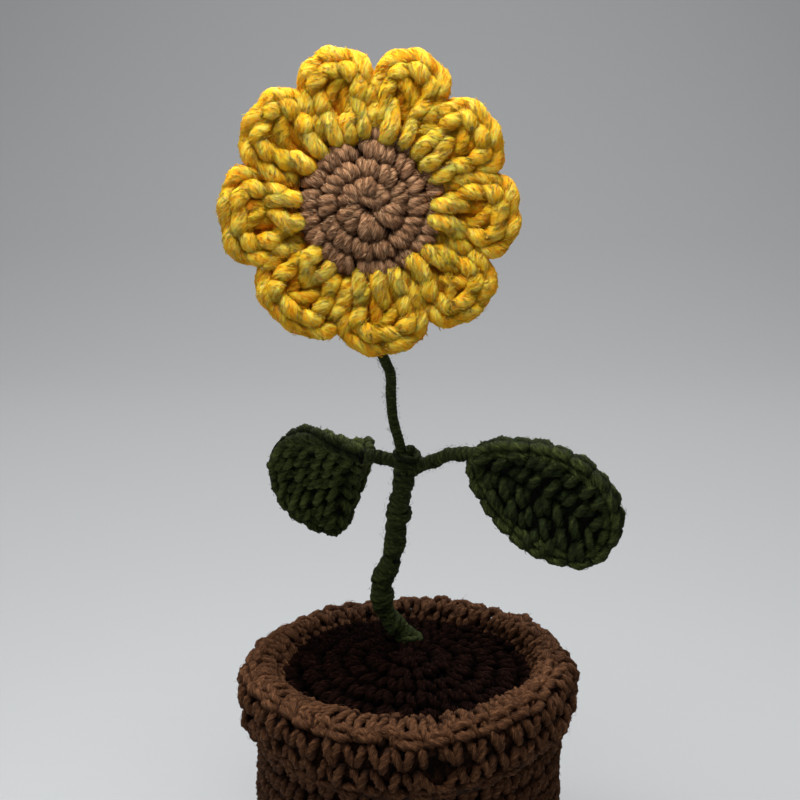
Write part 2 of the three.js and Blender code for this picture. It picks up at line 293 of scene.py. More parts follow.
        # the painted light and shade of every point, which the yarn material turns into colour
        tone = mesh.attributes.new("crest", "FLOAT", "POINT")
        tone.data.foreach_set("value", np.concatenate(self.crest).astype(np.float32))
        mesh.materials.append(material)
        piece = bpy.data.objects.new(self.name, mesh)
        bpy.context.scene.collection.objects.link(piece)
        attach(piece, "root")
        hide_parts(*([node] if isinstance(node, str) else node))
        print(f"{self.name}: {int((sizes - 2).sum())} triangles")
        return piece


# Shader maths. A signal is a node's output that can be added, taken away and multiplied.

class Signal:
    def __init__(self, recipe, socket):
        self.recipe, self.socket = recipe, socket

    def maths(self, operation, *values):
        return self.recipe.node("ShaderNodeMath", {"operation": operation}, dict(enumerate(values)))

    def __add__(self, other):
        return self.maths("ADD", self, other)

    def __sub__(self, other):
        return self.maths("SUBTRACT", self, other)

    def __rsub__(self, other):
        return self.maths("SUBTRACT", other, self)

    def __mul__(self, other):
        return self.maths("MULTIPLY", self, other)

    __radd__, __rmul__ = __add__, __mul__


class Recipe:
    def __init__(self, name):
        self.material = bpy.data.materials.new(name)
        self.material.use_nodes = True
        self.tree = self.material.node_tree
        self.tree.nodes.clear()

    def node(self, kind, settings=None, sockets=None, out=0):  # settings first, then values and links
        node = self.tree.nodes.new(kind)
        for key, value in (settings or {}).items():
            if key == "stops":
                while len(node.color_ramp.elements) < len(value):
                    node.color_ramp.elements.new(0.5)
                for element, (place, paint) in zip(node.color_ramp.elements, value):
                    element.position = place
                    element.color = (*paint, 1)
            else:
                setattr(node, key, value)
        for key, value in (sockets or {}).items():
            if isinstance(value, Signal):
                self.tree.links.new(value.socket, node.inputs[key])
            else:
                node.inputs[key].default_value = value
        return Signal(self, node.outputs[out])

    def finish(self, shader):
        output = self.tree.nodes.new("ShaderNodeOutputMaterial")
        self.tree.links.new(shader.socket, output.inputs["Surface"])
        return self.material


def linear(part):
    return ((part / 255 + 0.055) / 1.055) ** 2.4 if part > 10 else part / 255 / 12.92


def colour(red, green, blue):  # a colour as it is seen, from 0 to 255, made linear
    return linear(red), linear(green), linear(blue)


def spunYarn(name, look):
    # fibres run along each strand; the crests get a painted highlight and the gaps between strands painted
    # shade, from each point's painted light value
    recipe = Recipe(name)
    place = recipe.node("ShaderNodeUVMap", {"uv_map": "yarn"})
    parts = recipe.node("ShaderNodeSeparateXYZ", {}, {0: place})
    along = Signal(recipe, parts.socket.node.outputs[1])
    around = parts * turn
    fibreAt = recipe.node("ShaderNodeCombineXYZ", {}, {
        0: around.maths("COSINE", around) * look["fibres"],
        1: around.maths("SINE", around) * look["fibres"],
        2: along * look["fibreRun"]})
    fibre = recipe.node("ShaderNodeTexNoise", {}, {
        "Vector": fibreAt, "Scale": 1.0, "Detail": 5.0, "Roughness": 0.68})
    slowAt = recipe.node("ShaderNodeCombineXYZ", {}, {0: along * 0.09, 1: around * 0.05})
    slow = recipe.node("ShaderNodeTexNoise", {}, {"Vector": slowAt, "Scale": 1.0, "Detail": 2.0})
    crest = recipe.node("ShaderNodeAttribute", {"attribute_name": "crest"}, {}, out=2)
    streaks = (fibre - 0.5) * look["fibreTone"]
    tone = crest * look["paintedLightGain"] + streaks + (slow - 0.5) * look["slowTone"] + look["start"]
    paint = recipe.node("ShaderNodeValToRGB", {"stops": look["stops"]}, {0: tone})
    bump = recipe.node("ShaderNodeBump", {}, {"Strength": 1.0, "Distance": 0.0005, "Height": fibre})
    shader = recipe.node("ShaderNodeBsdfPrincipled", {}, {
        "Base Color": paint, "Roughness": look["matt"] + (fibre - 0.5) * 0.4, "Normal": bump,
        "Sheen Weight": look["sheen"], "Sheen Roughness": 0.4, "Sheen Tint": (*look["sheenTint"], 1),
        "Specular IOR Level": look["shine"], "Subsurface Weight": look["glow"],
        "Subsurface Radius": look["glowReach"], "Subsurface Scale": 0.001})
    return recipe.finish(shader)


# The stops run from the colour of painted shade in the gaps, at 0, up to the painted highlight on the crests,
# at 1.
plainYarn = {
    "fibres": 4.6, "fibreRun": 1.1, "fibreTone": 1.9, "slowTone": 0.25, "paintedLightGain": 0.75, "start": 0.05,
    "matt": 0.72, "shine": 0.2, "sheen": 0.05, "glow": 0.0, "glowReach": (1, 1, 1),
}
yellowLook = {
    **plainYarn, "fibreTone": 1.3, "paintedLightGain": 0.8, "start": 0.12, "matt": 0.6, "shine": 0.2,
    "sheen": 0.1, "sheenTint": colour(255, 225, 100), "glow": 0.6, "glowReach": (3.0, 1.5, 0.08),
    "stops": [(0.0, colour(190, 78, 0)), (0.3, colour(236, 128, 0)),
              (0.62, colour(253, 180, 10)), (1.0, colour(255, 226, 100))],
}
tanLook = {
    **plainYarn, "shine": 0.15, "sheenTint": colour(235, 195, 160), "glow": 0.1, "glowReach": (1.0, 0.6, 0.4),
    "stops": [(0.0, colour(36, 19, 12)), (0.3, colour(92, 60, 39)),
              (0.6, colour(142, 101, 69)), (1.0, colour(212, 168, 128))],
}
greenLook = {
    **plainYarn, "shine": 0.12, "sheenTint": colour(110, 130, 70),
    "stops": [(0.0, colour(5, 8, 2)), (0.3, colour(20, 28, 9)),
              (0.6, colour(48, 58, 23)), (1.0, colour(100, 110, 54))],
}
brownLook = {
    **plainYarn, "shine": 0.1, "sheenTint": colour(170, 120, 84),
    "stops": [(0.0, colour(16, 7, 3)), (0.3, colour(52, 30, 17)),
              (0.6, colour(81, 51, 31)), (1.0, colour(140, 97, 66))],
}
soilLook = {
    **plainYarn, "matt": 0.9, "shine": 0.02, "sheen": 0.0, "sheenTint": colour(120, 70, 50),
    "stops": [(0.0, colour(3, 1, 1)), (0.3, colour(7, 3, 2)),
              (0.6, colour(17, 8, 6)), (1.0, colour(48, 27, 21))],
}
yellowYarn = spunYarn("yellowYarn", yellowLook)
tanYarn = spunYarn("tanYarn", tanLook)
greenYarn = spunYarn("greenYarn", greenLook)
brownYarn = spunYarn("brownYarn", brownLook)
soilYarn = spunYarn("soilYarn", soilLook)

# What is inside has one noise pattern each, for the colour and for the bump.
innerLook = {
    "wireMetal": {  # drawn craft wire, with fine lines along it
        "stretch": (9000, 9000, 300), "noise": {"Scale": 1.0, "Detail": 3.0},
        "stops": [(0.2, colour(120, 122, 124)), (0.8, colour(176, 178, 180))],
        "bump": 0.3, "deep": 0.0001, "rough": 0.25, "roughGain": 0.25, "metal": 1.0},
    "fibreFill": {  # white polyester stuffing
        "noise": {"Scale": 450.0, "Detail": 6.0, "Distortion": 2.5},
        "stops": [(0.25, colour(196, 194, 188)), (0.7, colour(242, 241, 237))],
        "bump": 0.9, "deep": 0.001, "rough": 0.95},
    "stiffSheet": {  # a disc cut from plain plastic sheet
        "noise": {"Scale": 900.0, "Detail": 3.0},
        "stops": [(0.3, colour(206, 198, 178)), (0.7, colour(220, 212, 192))],
        "bump": 0.2, "deep": 0.0002, "rough": 0.6},
}


def innerStuff(name):
    look = innerLook[name]
    recipe = Recipe(name)
    place = recipe.node("ShaderNodeTexCoord", {}, {}, out=3)
    if "stretch" in look:
        place = recipe.node("ShaderNodeMapping", {}, {0: place, "Scale": look["stretch"]})
    noise = recipe.node("ShaderNodeTexNoise", {}, {"Vector": place, **look["noise"]})
    paint = recipe.node("ShaderNodeValToRGB", {"stops": look["stops"]}, {0: noise})
    bump = recipe.node("ShaderNodeBump", {}, {
        "Strength": look["bump"], "Distance": look["deep"], "Height": noise})
    rough = look["rough"] + noise * look["roughGain"] if "roughGain" in look else look["rough"]
    return recipe.finish(recipe.node("ShaderNodeBsdfPrincipled", {}, {
        "Base Color": paint, "Metallic": look.get("metal", 0.0), "Roughness": rough, "Normal": bump}))


def dress(nodes, material):
    for name in nodes:
        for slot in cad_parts[name].material_slots:
            slot.material = material


dress(["stem_wire", "leaf_left_wire", "leaf_right_wire"], innerStuff("wireMetal"))
dress(["stuffing"], innerStuff("fibreFill"))
dress(["pot_stiffener"], innerStuff("stiffSheet"))
print("materials mixed")


# Stitches. A surface is a function place(s, t, h): s counts stitches, t rounds, h is the height on it.

def legs(fabric, place, s, t, shape, lift, radius, steps=9, loose=0.05, **yarn):
    # one strand at each start (s, t), along shape, a list of (stitch, round, height); the high parts of a
    # strand get painted highlight and the low parts, where it dips under, painted shade
    path = smooth(shape, steps)
    s, t = np.broadcast_arrays(np.asarray(s, float), np.asarray(t, float))
    many = s.size
    s = s.reshape(-1, 1) + path[:, 0] + dice.normal(0, loose, (many, 1))
    t = t.reshape(-1, 1) + path[:, 1] + dice.normal(0, loose, (many, 1))
    h = path[:, 2] * lift + dice.normal(0, loose * 2.4, (many, 1))
    lines = place(s, t, h)
    outward = unit(place(s, t, h + 0.5) - lines)
    crest = ease(path[:, 2] + 0 * h, -0.5, 0.7)
    thick = radius * (1 + dice.normal(0, 0.06, (many, 1))) * np.ones(steps)
    fabric.yarn(lines, outward, thick, crest=crest, **yarn)


def mirrored(shape):
    return [(-s, t, h) for s, t, h in shape]


vLeg = [(0.1, -0.12, -0.7), (0.13, 0.12, 0.2), (0.22, 0.45, 0.8), (0.3, 0.78, 0.55), (0.33, 1.06, -0.6)]
chainLeg = [(-0.2, 0.05, -0.5), (0.15, 0.3, 0.35), (0.5, 0.42, 0.75), (0.85, 0.36, 0.5), (1.2, 0.1, -0.45)]


def vRow(fabric, place, start, count, t, **how):  # a round of V stitches
    s = start + np.arange(count)
    legs(fabric, place, s, t, vLeg, **how)
    legs(fabric, place, s, t, mirrored(vLeg), **how)


def chainRow(fabric, place, start, count, t, wide, **how):  # a round of chain, like the top edge of a row
    s = start + np.arange(count)
    for side in (1, -1):
        legs(fabric, place, s, t, [(a, side * wide * b, h) for a, b, h in chainLeg], **how)


# The pot: a spiral base, a stitched wall and the cuff folded over its top.

potLow, potHigh = boxOf("pot_wall")

potLook = {
    "skin": (potHigh[1] - potLow[1]) / 2 - 1.4,  # where the stitches of the wall lie
    "stitches": 42, "rounds": 10, "round": 5.0, "drift": 0.24, "yarn": 1.3, "corner": 3.2, "belly": 0.5,
    "baseRounds": 6, "baseYarn": 1.2, "baseDrift": 0.2, "hairs": 1500, "hairLength": 2.2,
    "feel": {"steps": 8, "sides": 8, "ply": 4},
}


def potPlace(stitches, drift):
    skin, corner, yarn = potLook["skin"], potLook["corner"], potLook["yarn"]
    flat = skin - corner  # the base is flat out to here, and then the corner turns up into the wall
    bend = corner * turn / 4

    def place(s, t, h):
        angle = turn * (s + drift * t) / stitches
        run = t * potLook["round"]
        turned = np.clip((run - flat) / bend, 0, 1) * turn / 4
        up = np.maximum(run - flat - bend, 0)
        belly = potLook["belly"] * wobble(3 * angle + 0.11 * up, 2.0) * ease(up, 2, 10)
        out = np.minimum(run, flat) + corner * np.sin(turned) + h * np.sin(turned) + belly
        high = yarn * 1.02 + corner * (1 - np.cos(turned)) + up - h * np.cos(turned)
        return np.stack([out * np.cos(angle), out * np.sin(angle), np.maximum(high, yarn * 0.98)], -1)
    return place


def potWall():
    look = potLook
    wall = Fabric("potWall")
    place = potPlace(look["stitches"], look["drift"])
    first = look["skin"] / look["round"] - 0.15
    for row in range(look["rounds"] + 1):
        vRow(wall, place, 0, look["stitches"], first + row, lift=1.0, radius=look["yarn"], **look["feel"])
    inner, outer = look["skin"] - 2.6, look["skin"] - 0.5
    # the filling behind the stitches, painted almost black as the shade between them
    wall.turned([(inner, 1.6), (outer - 2.4, 1.6), (outer - 0.4, 3.4), (outer, 6),
                 (outer, 30), (outer, 57), (inner, 57), (inner, 30)], 84, 0.05)
    wall.hairs(look["hairs"], look["hairLength"])
    return wall.make(brownYarn, "pot_wall")


def potBase():
    look = potLook
    base = Fabric("potBase")
    for row in range(look["baseRounds"]):
        count = 6 * (row + 1)
        place = potPlace(count, look["baseDrift"])
        vRow(base, place, 0.3 * row, count, row + 0.12, lift=0.7, radius=look["baseYarn"], **look["feel"])
    edge = look["baseRounds"] * look["round"]
    # the filling behind the stitches, painted almost black as the shade between them
    base.turned([(0.05, 2.0), (edge, 2.0), (edge, 3.6), (0.05, 3.6)], 48, 0.05)
    return base.make(brownYarn, "pot_wall")


cuffLook = {
    "stitches": 46, "row": 5.0, "pitch": 5.4, "ridge": 13.9, "hem": 28.0, "hairs": 2200, "hairLength": 2.4,
    "yarn": 1.12, "ridgeYarn": 1.35, "slantYarn": 1.25, "otherYarn": 1.2, "hemYarn": 1.05,
    "outline": [(31.9, 56.6), (31.3, 60.4), (31.9, 63.6), (34.2, 65.4), (37.2, 65.2),
                (39.3, 63.2), (39.9, 59.8), (39.8, 55.6), (39.2, 51.6), (38.7, 48.6)],
    "slant": [(-0.26, -0.04, -0.7), (-0.16, 0.2, 0.35), (-0.02, 0.5, 0.9),
              (0.14, 0.82, 0.6), (0.32, 1.12, -0.5)],  # the two legs of a stitch below the ridge
    "other": [(0.66, -0.02, -0.8), (0.6, 0.2, 0.3), (0.5, 0.5, 0.75), (0.42, 0.8, 0.45), (0.36, 1.06, -0.6)],
    "feel": {"lift": 1.0, "steps": 9, "sides": 9, "ply": 3, "loose": 0.09, "groove": 0.26},
    "slack": {"stitch": 35.6, "round": 4.2, "open": 2.3, "reach": 6.0},  # one loose stitch leaves a hole
    "rolledIn": 1.7, "lean": 2.6, "deep": 0.9, "thick": 1.2,
}


def cuffPlace():
    look = cuffLook
    table = smooth(look["outline"], 400)
    slope = unit(np.gradient(table, axis=0))
    run = lengthAlong(table)

    def place(s, q, h):  # q is millimetres from the bottom of the lip, over the top and down to the hem
        angle = turn * s / look["stitches"]
        right, left, front = np.cos(angle), -np.cos(angle), -np.sin(angle)
        where = q - look["rolledIn"] * ease(np.cos(angle - math.radians(5)), 0.1, 0.95)
        radius, height = np.interp(where, run, table[:, 0]), np.interp(where, run, table[:, 1])
        below = np.minimum(where, 0)  # past the ends the fabric runs straight on
        beyond = np.maximum(where - run[-1], 0)
        outR, outZ = -np.interp(where, run, slope[:, 1]), np.interp(where, run, slope[:, 0])
        lifted = 0.15 + 0.8 * right + 0.3 * np.cos(2 * angle) + 0.35 * wobble(2 * angle, 1.0)
        hem = ease(where, 14, 30) * (2.2 + 1.3 * ease(left, 0.3, 1) + 0.6 * ease(right, 0.3, 1))
        leans = ease(where, 2, 7) * (1 - ease(where, 7.5, 13)) * ease(front, 0.1, 1)  # in over the soil
        narrow = ease(where, 4, 12) * (1.1 * ease(right, 0.3, 1) + 0.4 * ease(left, 0.3, 1))
        uneven = 0.45 * wobble(4 * angle + 0.2 * where, 4.0)
        radius = radius + h * outR + uneven - look["lean"] * leans - narrow
        height = height + h * outZ + lifted + hem + leans + below - beyond
        return np.stack([radius * np.cos(angle), radius * np.sin(angle), height], -1)
    return place, run[-1]


def potCuff():
    look = cuffLook
    cuff = Fabric("potCuff")
    place, whole = cuffPlace()
    row, count, slack = look["row"], look["stitches"], look["slack"]

    def fromSlack(s, t):  # millimetres from the middle of the hole
        across, up = (s - slack["stitch"]) * look["pitch"], (t - slack["round"]) * row
        return across, up, np.hypot(across, up)

    def rows(s, t, h):  # t in rows of stitches; the strands part round the hole
        across, up, apart = fromSlack(s, t)
        push = slack["open"] * np.clip(1 - apart / slack["reach"], 0, 1) / np.maximum(apart, 0.2)
        return place(s + across * push / look["pitch"], (t + up * push / row) * row, h)

    def stretched(shape):
        return [(s, 1.25 * t, h) for s, t, h in shape]

    how = {**look["feel"], "radius": look["yarn"]}
    slant, other = {**how, "radius": look["slantYarn"]}, {**how, "radius": look["otherYarn"]}
    ridge = look["ridge"] / row
    vRow(cuff, rows, 0.2, count, -0.25, **how)
    vRow(cuff, rows, 0.0, count, 0.75, **how)
    vRow(cuff, rows, 0.35, count, 1.65, **how)
    legs(cuff, rows, 0.1 + np.arange(2 * count) / 2, 2.0, look["slant"], **{**how, "loose": 0.1})
    chainRow(cuff, rows, 0.1, count, ridge, wide=0.42, **{**how, "radius": look["ridgeYarn"], "lift": 1.9})
    for start, t in ((0.0, ridge + 0.22), (0.4, ridge + 1.45)):
        s = start + np.arange(count)
        legs(cuff, rows, s, t, stretched(look["slant"]), **{**slant, "loose": 0.13})
        legs(cuff, rows, s, t, stretched(look["other"]), **{**other, "loose": 0.13})
    chainRow(cuff, rows, 0.4, count, look["hem"] / row, wide=0.36, **{**how, "radius": look["hemYarn"]})

    t = np.linspace(0, whole + 0.5, 26)[None]  # the backing, which sinks in and goes dark behind the hole
    angle = np.arange(count * 2) / 2
    s = angle[:, None]
    hollow = 1 - ease(fromSlack(s, t / row)[2], 1.6, 3.4)
    outer = place(s, t, -look["deep"] - 2.2 * hollow)
    inner = place(s, t[:, ::-1], -look["deep"] - look["thick"] - 2.2 * hollow[:, ::-1])
    ring = np.concatenate([outer, inner], 1)
    # painted shade: the backing is painted dark, darkest behind the hole, where the shade falls
    shade = 0.2 - 0.5 * np.concatenate([hollow, hollow[:, ::-1]], 1)
    cuff.rings(ring[None, :, ::-1], shade[None, :, ::-1], (angle * 5)[None], loop=True, segment=12)
    cuff.hairs(look["hairs"], look["hairLength"])
    return cuff.make(brownYarn, "pot_cuff")


# The soil: a dark domed disc, worked in rounds.

soilLow, soilHigh = boxOf("soil_disc")
soilWork = {
    "reach": (soilHigh[1] - soilLow[1]) / 2, "edge": 62.3, "rise": 4.6, "rounds": 6, "yarn": 1.35,
    "tilt": 0.9, "highest": math.radians(130), "lump": 0.5, "hairs": 2200, "hairLength": 2.4,
}


def soilDisc():
    look = soilWork
    soil = Fabric("soilDisc")
    width = look["reach"] / look["rounds"]

    def dome(distance):
        return look["edge"] + look["rise"] * (1 - np.clip(distance / look["reach"], 0, 1.2) ** 2)

    for row in range(look["rounds"]):
        count = 6 * (row + 1)

        def place(s, t, h):
            angle = turn * (s + 0.2 * t) / count
            distance = np.maximum(t * width, 0.05)
            slant = 2 * look["rise"] * distance / look["reach"] ** 2
            out = distance + h * slant / np.hypot(1, slant)
            tilt = look["tilt"] * np.cos(angle - look["highest"]) * distance / look["reach"]
            lump = look["lump"] * wobble(distance * 0.35 + 2 * np.cos(angle), 3.0) + tilt
            return np.stack([out * np.cos(angle), out * np.sin(angle), dome(distance) - 1.0 + h + lump], -1)

        vRow(soil, place, 0.37 * row, count, row + 0.05, lift=0.9, radius=look["yarn"],
             steps=8, sides=8, ply=4, loose=0.07)
    reach = np.linspace(0.05, look["reach"], 12)
    top = [(r, dome(r) - 1.4) for r in reach]
    # the filling under the stitches, painted black as the shade between them
    soil.turned(top + [(r, z - 1.6) for r, z in top[::-1]], 60, 0.0)
    soil.hairs(look["hairs"], look["hairLength"])
    return soil.make(soilYarn, "soil_disc")


wall = potWall()
potBase()
potCuff()
soil = soilDisc()
print("pot worked")


# Stem and stalks: yarn wound close round the wires.

stemLook = {
    "stem": {
        "route": [(0.4, 11, 65.4), (-1.2, 10.8, 68.4), (-4.2, 10.1, 72), (-6.4, 9.1, 76.6),
                  (-6.8, 8.4, 81), (-6.1, 7.8, 85.2), (-4.3, 7.3, 89.4), (-3.4, 6.6, 94.5),
                  (-3, 5.8, 100), (-2, 5, 106), (-1.3, 4.3, 112), (-1.1, 4, 117)],
        "radius": 2.6, "yarn": 1.1, "uneven": 0.26, "flat": 0.42, "pitch": 1.25, "slackPitch": 7.5},
    "stalk": {
        "route": [(-1.6, 3.4, 117), (-2.6, 2.8, 121), (-3.8, 1.8, 126), (-4.3, 0.4, 132),
                  (-4.4, -1.4, 137.5), (-6.2, -3.2, 142.2), (-8.2, -4.2, 147), (-9, -4, 156),
                  (-9, -3, 166), (-9, -2.8, 172), (-9, -4.2, 176.2), (-9, -7, 177.2)],
        "radius": 1.3, "yarn": 0.8, "uneven": 0.06, "flat": 0.45, "pitch": 1.3},
    "left": {
        "route": [(-1.6, 4.4, 114.4), (-4.4, 5.8, 115), (-7.4, 7.2, 115.4), (-10.4, 9.1, 114.9)],
        "radius": 1.75, "yarn": 0.9, "uneven": 0.15, "flat": 0.55, "pitch": 1.5, "slackPitch": 7.5},
    "right": {
        "route": [(-0.2, 4.1, 112.6), (2.4, 2.5, 114.4), (5.2, 0.8, 116),
                  (9.3, -1.9, 118.4), (13.2, -4.2, 119.3), (15.9, -5.3, 119.2)],
        "radius": 1.7, "yarn": 0.9, "uneven": 0.15, "flat": 0.55, "pitch": 1.5, "slackPitch": 7.5},
    "foot": ((0.2, 11, 66.6), (0.1, -0.1, 1), 2.6, 1.4, 1.6),  # centre, axis, radius, turns and climb
    "knot": ((-1.2, 3.9, 114.8), (0.35, -0.15, 1), 2.6, 1.7, 3.2),
    "nub": [(-1.0, 3.0, 116.2), (0.1, 2.6, 117.6), (0.7, 2.4, 118.6), (0.6, 2.5, 119.6)],
    "hairsPerLength": 10, "hairLength": 1.3,
}


def carried(line):  # a frame that goes along a line without twisting
    ahead = unit(np.gradient(line, axis=0))
    side = [unit(np.cross(ahead[0], (0.3, 0.9, 0.2)))]
    for step in ahead[1:]:
        side.append(unit(side[-1] - step * np.dot(side[-1], step)))
    side = np.array(side)
    return ahead, side, np.cross(ahead, side)


def wound(name, look, node, extra=()):
    wrap = Fabric(name)
    core = evenly(look["route"], 0.5)
    _, side, lift = carried(core)
    length = 0.5 * (len(core) - 1)
    yarn, reach = look["yarn"], look["radius"] - look["yarn"] * look["flat"]

    def coil(turns, reach, seed):
        steps = int(abs(turns) * 18)
        at = np.linspace(0, len(core) - 1, steps)
        pace = np.clip(at + 1.1 * wobble(at * 0.09, seed), 0, len(core) - 1)  # closer here, wider there
        spin = turn * turns * np.linspace(0, 1, steps) + seed
        here, sideHere, liftHere = (between(group, pace) for group in (core, side, lift))
        out = np.cos(spin)[:, None] * sideHere + np.sin(spin)[:, None] * liftHere
        bulge = 1 + look["uneven"] * wobble(pace * 0.17, 1.3) + 0.4 * look["uneven"] * wobble(spin * 0.7, 2.6)
        line = here + out * (reach * bulge)[:, None]
        thick = yarn * (1 + 0.14 * wobble(spin * 0.31, 4.0))
        wrap.yarn(line, out, thick, ply=3, sides=9, crest=0.85, flat=look["flat"])

    coil(length / (look["pitch"] * yarn), reach, 5.0)
    if "slackPitch" in look:
        coil(length / look["slackPitch"], reach + 0.3 * yarn, 2.0)  # a few slack turns over the close ones
    # the core under the coils, painted black as the shade that shows between them
    wrap.yarn(core[::2], side[::2], reach, ply=2, sides=8, lay=50, groove=0.0, crest=0.0)
    for route, radius in extra:
        route = evenly(route, 0.6)
        wrap.yarn(route, carried(route)[1], radius, ply=3, sides=9, crest=0.85)
    wrap.hairs(int(length * stemLook["hairsPerLength"]), stemLook["hairLength"], only=0.2)
    return wrap.make(greenYarn, node)


def around(centre, axis, radius, turns, climb):  # a few loose turns about a point
    axis = unit(np.array(axis, float))
    first = unit(np.cross(axis, (0.1, 0.2, 1.0)))
    second = np.cross(axis, first)
    spin = (turn * turns * np.linspace(0, 1, 16))[:, None]
    out = radius * (np.cos(spin) * first + np.sin(spin) * second)
    return np.array(centre) + out + axis * climb * spin / turn / turns


foot, knot = around(*stemLook["foot"]), around(*stemLook["knot"])
wound("stemWrap", stemLook["stem"], "stem_wrap", [(foot, 1.0), (knot, 0.95), (stemLook["nub"], 1.0)])
wound("flowerStalk", stemLook["stalk"], "flower_stalk")
wound("leafLeftStalk", stemLook["left"], "leaf_left_stalk")
wound("leafRightStalk", stemLook["right"], "leaf_right_stalk")
print("stem wound")


# Leaves: a blade with a bent midrib, worked down both sides, with a chain edge.

# tone scales the painted light of each leaf's stitches: the left leaf is painted lighter and the right one
# darker, for how the light falls on them
leafLook = {
    "left": {"midrib": [(-10.6, 9.2, 114.8), (-13.4, 17.5, 114), (-17.2, 27.6, 103), (-20.4, 33.5, 86.6)],
             "far": (-0.92, 0.14, 0.32), "farWidths": [6, 15, 19.5, 21.5, 21.5, 19, 12],
             "near": (0.46, 0.86, 0.16), "nearWidths": [1, 5, 9, 10.5, 10, 7.5, 3],
             "post": [(-2.6, 0.2, -1.2), (-1.4, 0.9, 0.4), (0.2, 1.5, 1.1),
                      (1.8, 2.2, 0.7), (2.9, 2.8, -0.9)],
             "spacing": 4.9, "rowWidth": 3.3, "reach": 2.8, "tone": 1.3},
    "right": {"midrib": [(13.7, -4.5, 119.1), (21.5, -7, 115.8), (34.5, -11.6, 110.2), (46.6, -15.6, 101)],
              "far": (0.4, -0.46, 0.8), "farWidths": [4.5, 9.5, 12.5, 13.5, 13, 10.5, 5],
              "near": (-0.3, 0.06, -0.95), "nearWidths": [4, 9.5, 13.5, 15.5, 15, 12, 6],
              "post": [(-0.3, 0.2, -1.4), (0.0, 0.9, 0.4), (0.5, 2.4, 1.3),
                       (1.0, 3.8, 0.9), (1.4, 4.8, -1.2)],
              "spacing": 4.3, "rowWidth": 4.9, "reach": 4.8, "tone": 0.78},
    "crease": 2.2, "yarn": 1.3, "apart": 0.85, "edgeYarn": 1.4, "link": 4.6, "edge": 2.4, "lift": 1.0,
    "tufts": 1500, "hairs": 500,
}


